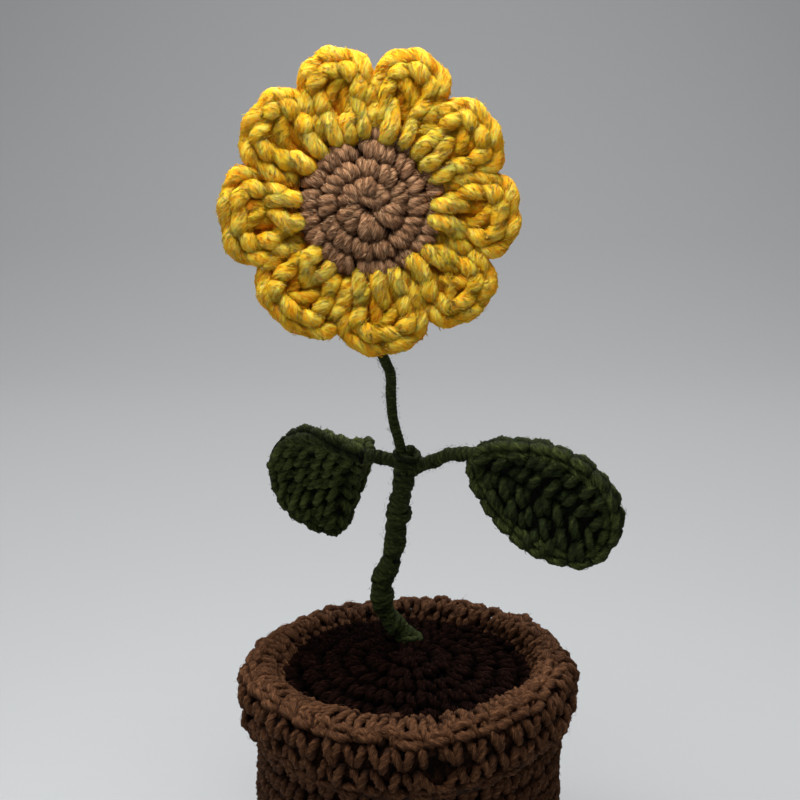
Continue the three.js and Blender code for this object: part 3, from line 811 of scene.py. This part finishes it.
def leafBlade(name, side, node):
    look = {**leafLook, **leafLook[side]}
    leaf = Fabric(name)
    table = evenly(look["midrib"], 0.4)
    length = 0.4 * (len(table) - 1)
    far, near = unit(np.array(look["far"])), unit(np.array(look["near"]))

    def place(along, across, h):  # millimetres along the midrib and out from it; far is positive
        at = np.clip(along / 0.4, 0, len(table) - 1)
        spread = np.hypot(across, look["crease"])
        flat = (between(table, at) + far * ((spread + across - look["crease"]) / 2)[..., None]
                + near * ((spread - across - look["crease"]) / 2)[..., None])
        if np.ndim(h) == 0 and h == 0:
            return flat
        lengthwise = place(along + 0.2, across, 0) - place(along - 0.2, across, 0)
        crosswise = place(along, across + 0.2, 0) - place(along, across - 0.2, 0)
        return flat + unit(np.cross(lengthwise, crosswise)) * np.asarray(h)[..., None]

    def width(along, sign):  # how far the blade reaches on one side
        share = np.clip(along / length, 0, 1)
        steps = smooth([(w, 0, 0) for w in look["farWidths" if sign > 0 else "nearWidths"]], 60)[:, 0]
        ring = 2 * np.sqrt(share * (1 - share))
        return np.interp(share * 59, np.arange(60), steps) * np.minimum(1, 2.2 * ring) ** 0.6

    def strands(starts, face, radius):
        path = smooth(look["post"], 11)
        along = starts[:, :1] + path[:, 0] + dice.normal(0, 0.3, (len(starts), 1))
        across = starts[:, 1:2] + starts[:, 2:3] * path[:, 1]
        h = path[:, 2] * look["lift"] + 0.2
        here = place(along, across, face * h)
        outward = unit(place(along, across, face * (h + 0.5)) - here)
        # painted light: the high parts of each strand lighter, the low parts darker, scaled by the leaf's
        # tone
        crest = ease(path[:, 2] + 0 * h + 0 * along, -0.4, 0.8) * look["tone"]
        thick = radius * (1 + dice.normal(0, 0.08, (len(starts), 1)))
        leaf.cable(here, outward, thick, look["apart"], 0.35, crest, sides=9, ply=3)

    for face in (1, -1):
        for sign in (1, -1):
            for row in range(6):
                start = 0.2 + row * look["rowWidth"]
                first = 2.4 + 0.5 * look["spacing"] * (row % 2)
                along = np.arange(first, length - look["edge"] - 1.5, look["spacing"])
                room = np.minimum(width(along - 1.0, sign), width(along + 1.6, sign)) - look["edge"] - start
                fits = room > 1.8
                if fits.any():
                    size = np.clip(room[fits] / look["reach"], 0.4, 1.0)
                    starts = np.stack([along[fits], sign * (start + 0 * size), sign * size], -1)
                    strands(starts, face, look["yarn"])

    loop = np.linspace(0.0, 2.0, 400) * math.pi  # out along the far side and back along the near side
    along = length * (1 - np.cos(loop)) / 2
    sign = np.where(loop < math.pi, 1.0, -1.0)
    reach = sign * np.where(sign > 0, width(along, 1), width(along, -1)) * (1 - look["edge"] / 13)
    along = look["edge"] + along * (1 - 2 * look["edge"] / length)
    edge = evenly(place(along, reach, 0.0), 0.5)
    inside = place(along, reach * 0.96, 0.6) - place(along, reach * 0.96, -0.6)
    at = np.linspace(0, len(inside) - 1, len(edge))
    up = unit(between(inside, at))
    outwards = unit(np.cross(unit(np.gradient(edge, axis=0)), up))
    links = int(0.5 * (len(edge) - 1) / look["link"])

    def hemPlace(s, t, h):  # s in links round the edge, t out from it
        at = (s / links * (len(edge) - 1)) % (len(edge) - 1)
        spot, aside, above = (between(group, at) for group in (edge, outwards, up))
        return spot + aside * np.asarray(t)[..., None] + above * np.asarray(h)[..., None]

    for face in (1, -1):
        def facing(s, t, h):
            return hemPlace(s, t, face * (h + 0.4))
        chainRow(leaf, facing, 0.0, links, 0.0, wide=2.7, lift=0.85, radius=look["edgeYarn"],
                 steps=10, sides=9)

    count = 26
    along = length * (0.02 + 0.96 * (1 - np.cos(np.linspace(0.08, 0.92, count) * math.pi)) / 2)
    spin = turn * np.arange(20) / 20
    over = np.cos(spin)
    reachFar, reachNear = width(along, 1) - 1.4, width(along, -1) - 1.4
    across = np.where(over > 0, reachFar[:, None] * over, reachNear[:, None] * over)
    pad = place(along[:, None] + 0 * across, across, np.sin(spin)[None] * 0.75 + 0 * across)
    # the pad behind the stitches, painted black as shade
    leaf.rings(pad[None], 0.0, along[None], segment=26)
    leaf.hairs(look["tufts"], 2.0, thickness=0.1, stand=0.08, stray=0.0, only=0.1, contrast=0.4)
    leaf.hairs(look["hairs"], 1.9, stray=0.2)
    return leaf.make(greenYarn, node)


leafBlade("leafLeft", "left", "leaf_left")
leafBlade("leafRight", "right", "leaf_right")
print("leaves worked")


# The flower. In its own frame x is to the right, y up the face and z towards whoever looks at it.

discLow, discHigh = boxOf("flower_centre")
backLow, backHigh = boxOf("flower_back")
faceTilt = math.radians(5)
faceRight = np.array([1.0, 0, 0])
faceUp = np.array([0, math.sin(faceTilt), math.cos(faceTilt)])
faceOut = np.array([0, -math.cos(faceTilt), math.sin(faceTilt)])
discRadius = (discHigh[0] - discLow[0]) / 2
discDeep = 5.0  # from the disc's back to its crown
middle = (discLow + discHigh) / 2 - faceOut * (discDeep / 2 - 1.0)

discLook = {
    "start": 4.9, "pitch": 3.9, "stitch": 4.35, "yarn": 1.42, "crown": 3.2, "fall": 2.6,
    "slack": (8.5, -1.3),  # where a stitch is missing
    "leg": [(-0.04, -1.9), (0.08, -0.5), (0.26, 0.8), (0.5, 1.25), (0.74, 0.95), (0.9, 0.0), (1.05, -1.8)],
    "knot": [(-2.0, 1.3, -0.4), (-0.9, 0.9, 0.5), (0.6, 0.35, 0.75), (2.0, -0.3, 0.5), (3.2, -1.2, -0.5)],
    "knotYarn": 1.15, "tufts": 2400, "hairs": 800, "backHairs": 900,
}


def onFace(x, y, z):
    x, y, z = np.broadcast_arrays(x, y, z)
    return middle + x[..., None] * faceRight + y[..., None] * faceUp + z[..., None] * faceOut


def discHeight(distance):
    return discLook["crown"] - discLook["fall"] * ease(distance, 3, 19)


def spiral(turns, flip=1.0):
    # pairs of legs set outwards along a growing spiral; the first round meets in the middle
    look = discLook
    start, pitch = look["start"], look["pitch"]
    angle, places = 0.0, []
    while angle < turns * turn:
        first = angle < turn - 0.3
        outer = start + pitch * angle / turn
        inner = 0.5 if first else outer - pitch
        step = turn / 6 if first else look["stitch"] / (outer - 0.5 * pitch)
        for side in (-1, 1):
            places.append((angle + step / 2, inner, outer, side, step, first))
        angle += step
    angle, inner, outer, side, step, first = (np.array(column)[:, None] for column in zip(*places))
    share = np.linspace(-0.04, 1.05, 14)
    profile = np.interp(share, *zip(*look["leg"]))
    distance = np.maximum(inner + (outer - inner) * share + dice.normal(0, 0.1, angle.shape), 0.3)
    spread = np.where(first, 0.2 * step * distance, 0.72 + 0.3 * share + dice.normal(0, 0.08, angle.shape))
    pairShift = np.repeat(dice.normal(0, 0.03, len(side) // 2), 2)[:, None]
    swung = angle + side * spread / distance + 0.45 * (share - 0.5) * step + pairShift
    x, y = distance * np.cos(swung) * flip, distance * np.sin(swung)
    # painted light: the high middle of each leg lighter, its ends, where it dips under, darker
    crest = ease(profile + 0 * distance, -0.9, 0.9)
    middleThick = np.minimum(0.3 * step * distance + 0.25, look["yarn"] * 1.35)
    thick = np.where(first, middleThick, look["yarn"] + 0 * distance)
    thick = thick * (1 + dice.normal(0, 0.05, angle.shape))
    keep = np.hypot(x[:, 7] - look["slack"][0], y[:, 7] - look["slack"][1]) > 0.9
    height = profile + dice.normal(0, 0.1, angle.shape)[keep]
    return x[keep], y[keep], distance[keep], height, thick[keep], crest[keep]


def discPad(fabric, outline, steps, segment):  # the filling behind the stitches
    angle = (turn * np.arange(steps) / steps)[:, None]
    radius, height = np.array(outline).T[:, None]
    ring = onFace(radius * np.cos(angle), radius * np.sin(angle), height + 0 * angle)
    # the filling behind the stitches, painted black as shade
    fabric.rings(ring[None, :, ::-1], 0.0, (angle * 10).T, loop=True, segment=segment)


def flowerCentre():
    look = discLook
    disc = Fabric("flowerCentre")
    feel = {"ply": 4, "sides": 12, "lay": 2.6, "groove": 0.12}
    x, y, distance, profile, thick, crest = spiral(3.3)
    line = onFace(x, y, discHeight(distance) + profile - 0.7)
    disc.yarn(line, np.broadcast_to(faceOut, line.shape), thick, crest=crest, **feel)
    knot = smooth(look["knot"], 14)
    line = onFace(knot[:, 0], knot[:, 1], knot[:, 2] + discHeight(2.0))
    disc.yarn(line, np.broadcast_to(faceOut, line.shape), look["knotYarn"], crest=0.9, **feel)
    reach = np.linspace(0.05, discRadius, 10)
    discPad(disc, [(r, discHeight(r) - 1.1) for r in reach] + [(r, -0.8) for r in reach[::-1]], 48, 12)
    disc.hairs(look["tufts"], 2.0, thickness=0.14, stand=0.08, stray=0.0, only=0.1, contrast=0.4)
    disc.hairs(look["hairs"], 1.7)
    return disc.make(tanYarn, "flower_centre")


def flowerBack():
    back = Fabric("flowerBack")
    x, y, _, profile, thick, crest = spiral(2.9, flip=-1.0)
    line = onFace(x, y, -2.9 - profile + 0.6)
    back.yarn(line, np.broadcast_to(-faceOut, line.shape), thick, ply=3, sides=9, crest=crest)
    reach = np.linspace(0.8, (backHigh[0] - backLow[0]) / 2, 6)
    discPad(back, [(r, -1.3) for r in reach] + [(r, -2.9) for r in reach[::-1]], 40, 10)
    back.hairs(discLook["backHairs"], 1.8)
    return back.make(tanYarn, "flower_back")


petalLook = {
    "count": 9, "room": math.radians(38),  # the angle that one petal's shape below is drawn for
    "root": 15.6, "solidEnd": 34.4, "padStart": 12.6, "padEnd": 30.8, "padLevel": 0.9,
    "tufts": 3300, "hairs": 700, "hairLength": 1.9,
    "rimYarn": 1.95, "link": 5.2,
    "rim": [(15.2, -3.7, -0.4), (18.2, -4.7, 0.6), (22.0, -5.7, 0.9), (25.4, -6.1, 1.2), (28.0, -5.5, 1.5),
            (29.8, -3.2, 1.6), (30.3, 0.0, 1.6), (29.8, 3.2, 1.6), (28.0, 5.5, 1.5), (25.4, 6.1, 1.2),
            (22.0, 5.7, 0.9), (18.2, 4.7, 0.6), (15.2, 3.7, -0.4)],
    "rimStrands": [(1.3, 0.0), (-1.4, 0.8), (1.1, -2.6), (-1.4, -2.9)],  # outwards and towards the front
    "posts": [[(-3.9, 1.7), (-0.2, 2.0), (3.7, 1.8)], [(-2.4, 2.1), (1.5, 1.8)],
              [(-3.6, 1.6), (1.2, 2.1)], [(-2.3, 1.9), (2.2, 2.1)]],  # across the petal, and how thick
    "low": [(18.0, 0.75, -1.0), (21.0, 0.9, 0.1), (24.5, 1.0, 0.5), (27.6, 0.95, 0.4), (29.4, 0.9, -1.0)],
    "lowYarn": 1.9, "lowStrands": 4, "pad": [6.6, 7.0, 7.6, 8.0, 7.4, 5.6, 2.0],
    "feel": {"ply": 3, "lay": 3.2, "groove": 0.1, "sides": 14},
}


def petalFlat(index):  # the corners of a petal's solid on the flower's face, and the way it points
    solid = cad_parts[f"petal_{index + 1}"].data
    corners = np.array([tuple(corner.co) for corner in solid.vertices]) / mm - middle
    flat = np.stack([corners @ faceRight, corners @ faceUp], -1)
    return flat, math.atan2(*flat.mean(0)[::-1])


def petalPlace(index):  # where a petal's own r (outwards), x (across) and z (forwards) lie
    look = petalLook
    flat, towards = petalFlat(index)
    others = [(petalFlat((index + k) % look["count"])[1] - towards + turn) % turn for k in (-1, 1)]
    leftRoom, rightRoom = others[0] / look["room"], (turn - others[1]) / look["room"]
    away = np.array([math.cos(towards), math.sin(towards)])
    across = np.array([-math.sin(towards), math.cos(towards)])
    reach = (flat @ away).max() + 0.5
    stretch = (reach - look["root"]) / (look["solidEnd"] - look["root"])
    skew = dice.normal(0, 0.5)

    def place(r, x, z):
        r = look["root"] + (r - look["root"]) * stretch
        x = x * np.where(x > 0, leftRoom, rightRoom) + skew * ease(r, 18, 34)
        z = z + 0.35 * wobble(r * 0.2 + x * 0.3, index * 1.3)
        return onFace(r * away[0] + x * across[0], r * away[1] + x * across[1], z)
    return place


def petalRim(petal, place):  # the rolled rim, two strands in front and two behind
    look = petalLook
    rim = evenly(look["rim"], 0.4)
    rimOut = unit(np.cross(unit(np.gradient(rim, axis=0)), (0, 0, 1.0)))
    if rimOut[len(rim) // 2, 0] < 0:
        rimOut = -rimOut
    links = int(0.4 * (len(rim) - 1) / look["link"])
    s = np.linspace(0, links, links * 9)
    at = np.clip(s / links * (len(rim) - 1), 0, len(rim) - 1)
    for out, high in look["rimStrands"]:
        phase = dice.uniform(0, turn)
        t = out + 0.25 * np.sin(turn * s + phase) + 0.35 * wobble(s * 0.9, phase)
        h = high + 0.3 * np.cos(turn * s + phase) + 0.35 * wobble(s * 1.1, phase + 2)
        spot = between(rim, at) + between(rimOut, at) * t[:, None]
        line = place(spot[:, 0], spot[:, 1], spot[:, 2] + h)
        thick = look["rimYarn"] * (1 + 0.07 * np.sin(turn * s + phase + 1) + 0.05 * wobble(s * 2.2, phase))
        # painted light: the rim strands are painted lighter where they rise and darker where they dip
        crest = np.clip(0.8 + 0.12 * np.cos(turn * s + phase), 0, 1)
        outward = np.broadcast_to(math.copysign(1, high) * faceOut, line.shape)
        petal.yarn(line, outward, thick, crest=crest, **look["feel"])


def petalFace(petal, place, face):  # the stitches on the front, face 1, or on the back, face -1
    look = petalLook

    def strand(r, x, z, thick, crest, **change):
        line = place(r, x, face * z - (0 if face > 0 else 1.9))
        outward = np.broadcast_to(face * faceOut, line.shape)
        petal.yarn(line, outward, thick, crest=crest, **{**look["feel"], **change})

    for spot, thick in look["posts"][dice.integers(0, 4)]:  # from the disc up into the rim
        fan = dice.uniform(0.8, 1.15)
        tall = dice.uniform(1.8, 3.0) if face > 0 else dice.uniform(0.6, 1.2)
        end = dice.uniform(21.0, 24.0)
        sway = dice.normal(0, 0.8)
        core = smooth([(14.8, spot * 0.8, -1.6), (14.5, spot * 0.84, tall * 0.4),
                       (15.9, spot * 0.92, tall * 0.98), (17.8, spot, tall),
                       (end - 2.8, spot * fan + sway, tall * 0.85),
                       (end - 0.9, spot * fan + sway * 1.6, tall * 0.4), (end, spot * fan + sway, -0.9)], 26)
        swell = thick * (1 + 0.1 * wobble(np.linspace(0, 6, 26), dice.uniform(0, 9)))
        # painted light: each post is lighter where it stands high and darker low down at the disc
        strand(*core.T, swell, ease(core[:, 2], -0.8, 2.2), lay=4.2)
    for _ in range(dice.integers(1, 3)):  # here and there a strand that crosses inside the rim
        one, two = dice.choice([-1, 1]) * dice.uniform(1.5, 4.5, 2) * (-1, 1)
        core = smooth([(21.5, one, -0.6), (23.2, one * 0.8 + two * 0.2, 1.3), (25.4, (one + two) / 2, 1.9),
                       (27.4, two, 1.5), (29.0, two * 1.2, -0.4)], 16)
        # painted shade: a crossing strand inside the rim is painted a little darker
        strand(*core.T, dice.uniform(1.3, 1.8), 0.7)
    many = look["lowStrands"]  # low strands that fill in behind the posts
    starts = (np.linspace(-4.6, 4.6, many) + dice.normal(0, 0.4, many))[:, None]
    low = smooth(look["low"], 20)
    height = low[:, 2] + dice.normal(0, 0.35, (many, 1))
    # painted shade: the low strands behind the posts are painted darker
    strand(low[:, 0] + 0 * starts, low[:, 1] * starts, height, look["lowYarn"], 0.5, sides=12)


def petalPad(index):
    look = petalLook
    petal = Fabric(f"petal{index + 1}")
    place = petalPlace(index)
    petalRim(petal, place)
    petalFace(petal, place, 1)
    petalFace(petal, place, -1)
    angle = turn * np.arange(16) / 16
    rows = np.linspace(0, 1, 14)
    r = look["padStart"] + (look["padEnd"] - look["padStart"]) * rows
    wide = np.interp(rows, np.linspace(0, 1, len(look["pad"])), look["pad"])[:, None]
    thick = 1.2 * np.sqrt(np.clip(1 - (2 * rows - 1) ** 2 * 0.9, 0.05, 1))[:, None]
    pad = place(r[:, None] + 0 * angle, wide * np.sin(angle), thick * np.cos(angle) - look["padLevel"])
    # the pad behind the stitches, painted dark as shade
    petal.rings(pad[None], 0.3, r[None], segment=14)
    petal.hairs(look["tufts"], 2.1, thickness=0.14, stand=0.05, stray=0.0, only=0.1, contrast=0.28)
    petal.hairs(look["hairs"], look["hairLength"], thickness=0.06)
    return petal.make(yellowYarn, f"petal_{index + 1}")


flowerCentre()
flowerBack()
for index in range(petalLook["count"]):
    petalPad(index)
print("flower worked")


# The stage: a pale sweep, soft light from above and behind, and the camera.

stageLook = {
    "near": -3.0, "turnUp": 0.62, "bend": 0.5, "tall": 2.4, "wide": 3.2,
    "low": colour(185, 188, 191), "high": colour(161, 162, 164),
}
lightLook = {  # place, what it points at, size, power and tint, in metres and watts
    "skylight": ((0.05, 0.6, 1.15), (0, 0, 0.15), 0.8, 12.5, (1.0, 0.99, 0.97)),
    "lamp": ((-0.025, -0.075, 0.35), (-0.008, 0.0, 0.17), 0.12, 0.7, (1.0, 0.97, 0.92)),
    "fill": ((0.3, -1.2, 0.5), (0, 0, 0.12), 1.2, 0.5, (0.98, 0.98, 1.0)),
    "window": ((-0.9, -0.1, 0.6), (0, 0, 0.12), 0.6, 1.6, (0.98, 0.99, 1.0)),
}
roomLook = {"tint": (0.85, 0.88, 0.92, 1), "strength": 0.25}
cameraLook = {"place": (-0.0022, -0.294, 0.200), "down": 13.2, "lens": 58.6, "sensor": 36, "nearest": 0.01}


def sweep():
    look = stageLook
    bend = [(look["turnUp"] + look["bend"] * math.sin(a), look["bend"] * (1 - math.cos(a)))
            for a in np.linspace(0, turn / 4, 24)]
    outline = [(look["near"], 0.0)] + bend + [(look["turnUp"] + look["bend"], look["tall"])]
    mesh = bpy.data.meshes.new("sweep")
    points = [(x, y, z) for y, z in outline for x in (-look["wide"], look["wide"])]
    faces = [(2 * k, 2 * k + 1, 2 * k + 3, 2 * k + 2) for k in range(len(outline) - 1)]
    mesh.from_pydata(points, [], faces)
    mesh.polygons.foreach_set("use_smooth", [True] * len(faces))
    recipe = Recipe("paleSweep")
    place = recipe.node("ShaderNodeTexCoord", {}, {}, out=3)
    parts = recipe.node("ShaderNodeSeparateXYZ", {}, {0: place}).socket.node.outputs
    # painted shade: the sweep is painted darker further back and higher up, where less light falls on it
    far = Signal(recipe, parts[1]) * 0.9 + Signal(recipe, parts[2]) * 0.8
    stops = [(0.05, look["low"]), (0.85, look["high"])]
    paint = recipe.node("ShaderNodeValToRGB", {"stops": stops}, {0: far})
    grain = recipe.node("ShaderNodeTexNoise", {}, {"Vector": place, "Scale": 40.0, "Detail": 4.0})
    bump = recipe.node("ShaderNodeBump", {}, {"Strength": 0.05, "Distance": 0.001, "Height": grain})
    shader = recipe.node("ShaderNodeBsdfPrincipled", {}, {
        "Base Color": paint, "Roughness": 0.9, "Normal": bump})
    mesh.materials.append(recipe.finish(shader))
    floor = bpy.data.objects.new("sweep", mesh)
    bpy.context.scene.collection.objects.link(floor)


def softLight(name, place, target, size, power, tint):
    data = bpy.data.lights.new(name, "AREA")
    data.shape, data.size, data.energy, data.color = "DISK", size, power, tint
    lamp = bpy.data.objects.new(name, data)
    lamp.location = place
    lamp.rotation_euler = (Vector(target) - Vector(place)).to_track_quat("-Z", "Y").to_euler()
    lamp.visible_camera = False
    bpy.context.scene.collection.objects.link(lamp)


sweep()
for name, values in lightLook.items():
    softLight(name, *values)
world = bpy.data.worlds.new("room")
world.use_nodes = True
backdrop = world.node_tree.nodes["Background"].inputs
backdrop["Color"].default_value = roomLook["tint"]
backdrop["Strength"].default_value = roomLook["strength"]
bpy.context.scene.world = world
bpy.context.scene.view_settings.view_transform = "Standard"

eye = bpy.data.cameras.new("camera")
eye.lens, eye.sensor_width, eye.clip_start = cameraLook["lens"], cameraLook["sensor"], cameraLook["nearest"]
camera = bpy.data.objects.new("camera", eye)
camera.location = cameraLook["place"]
camera.rotation_euler = (math.radians(90 - cameraLook["down"]), 0, 0)
bpy.context.scene.collection.objects.link(camera)
bpy.context.scene.camera = camera
print("stage set")
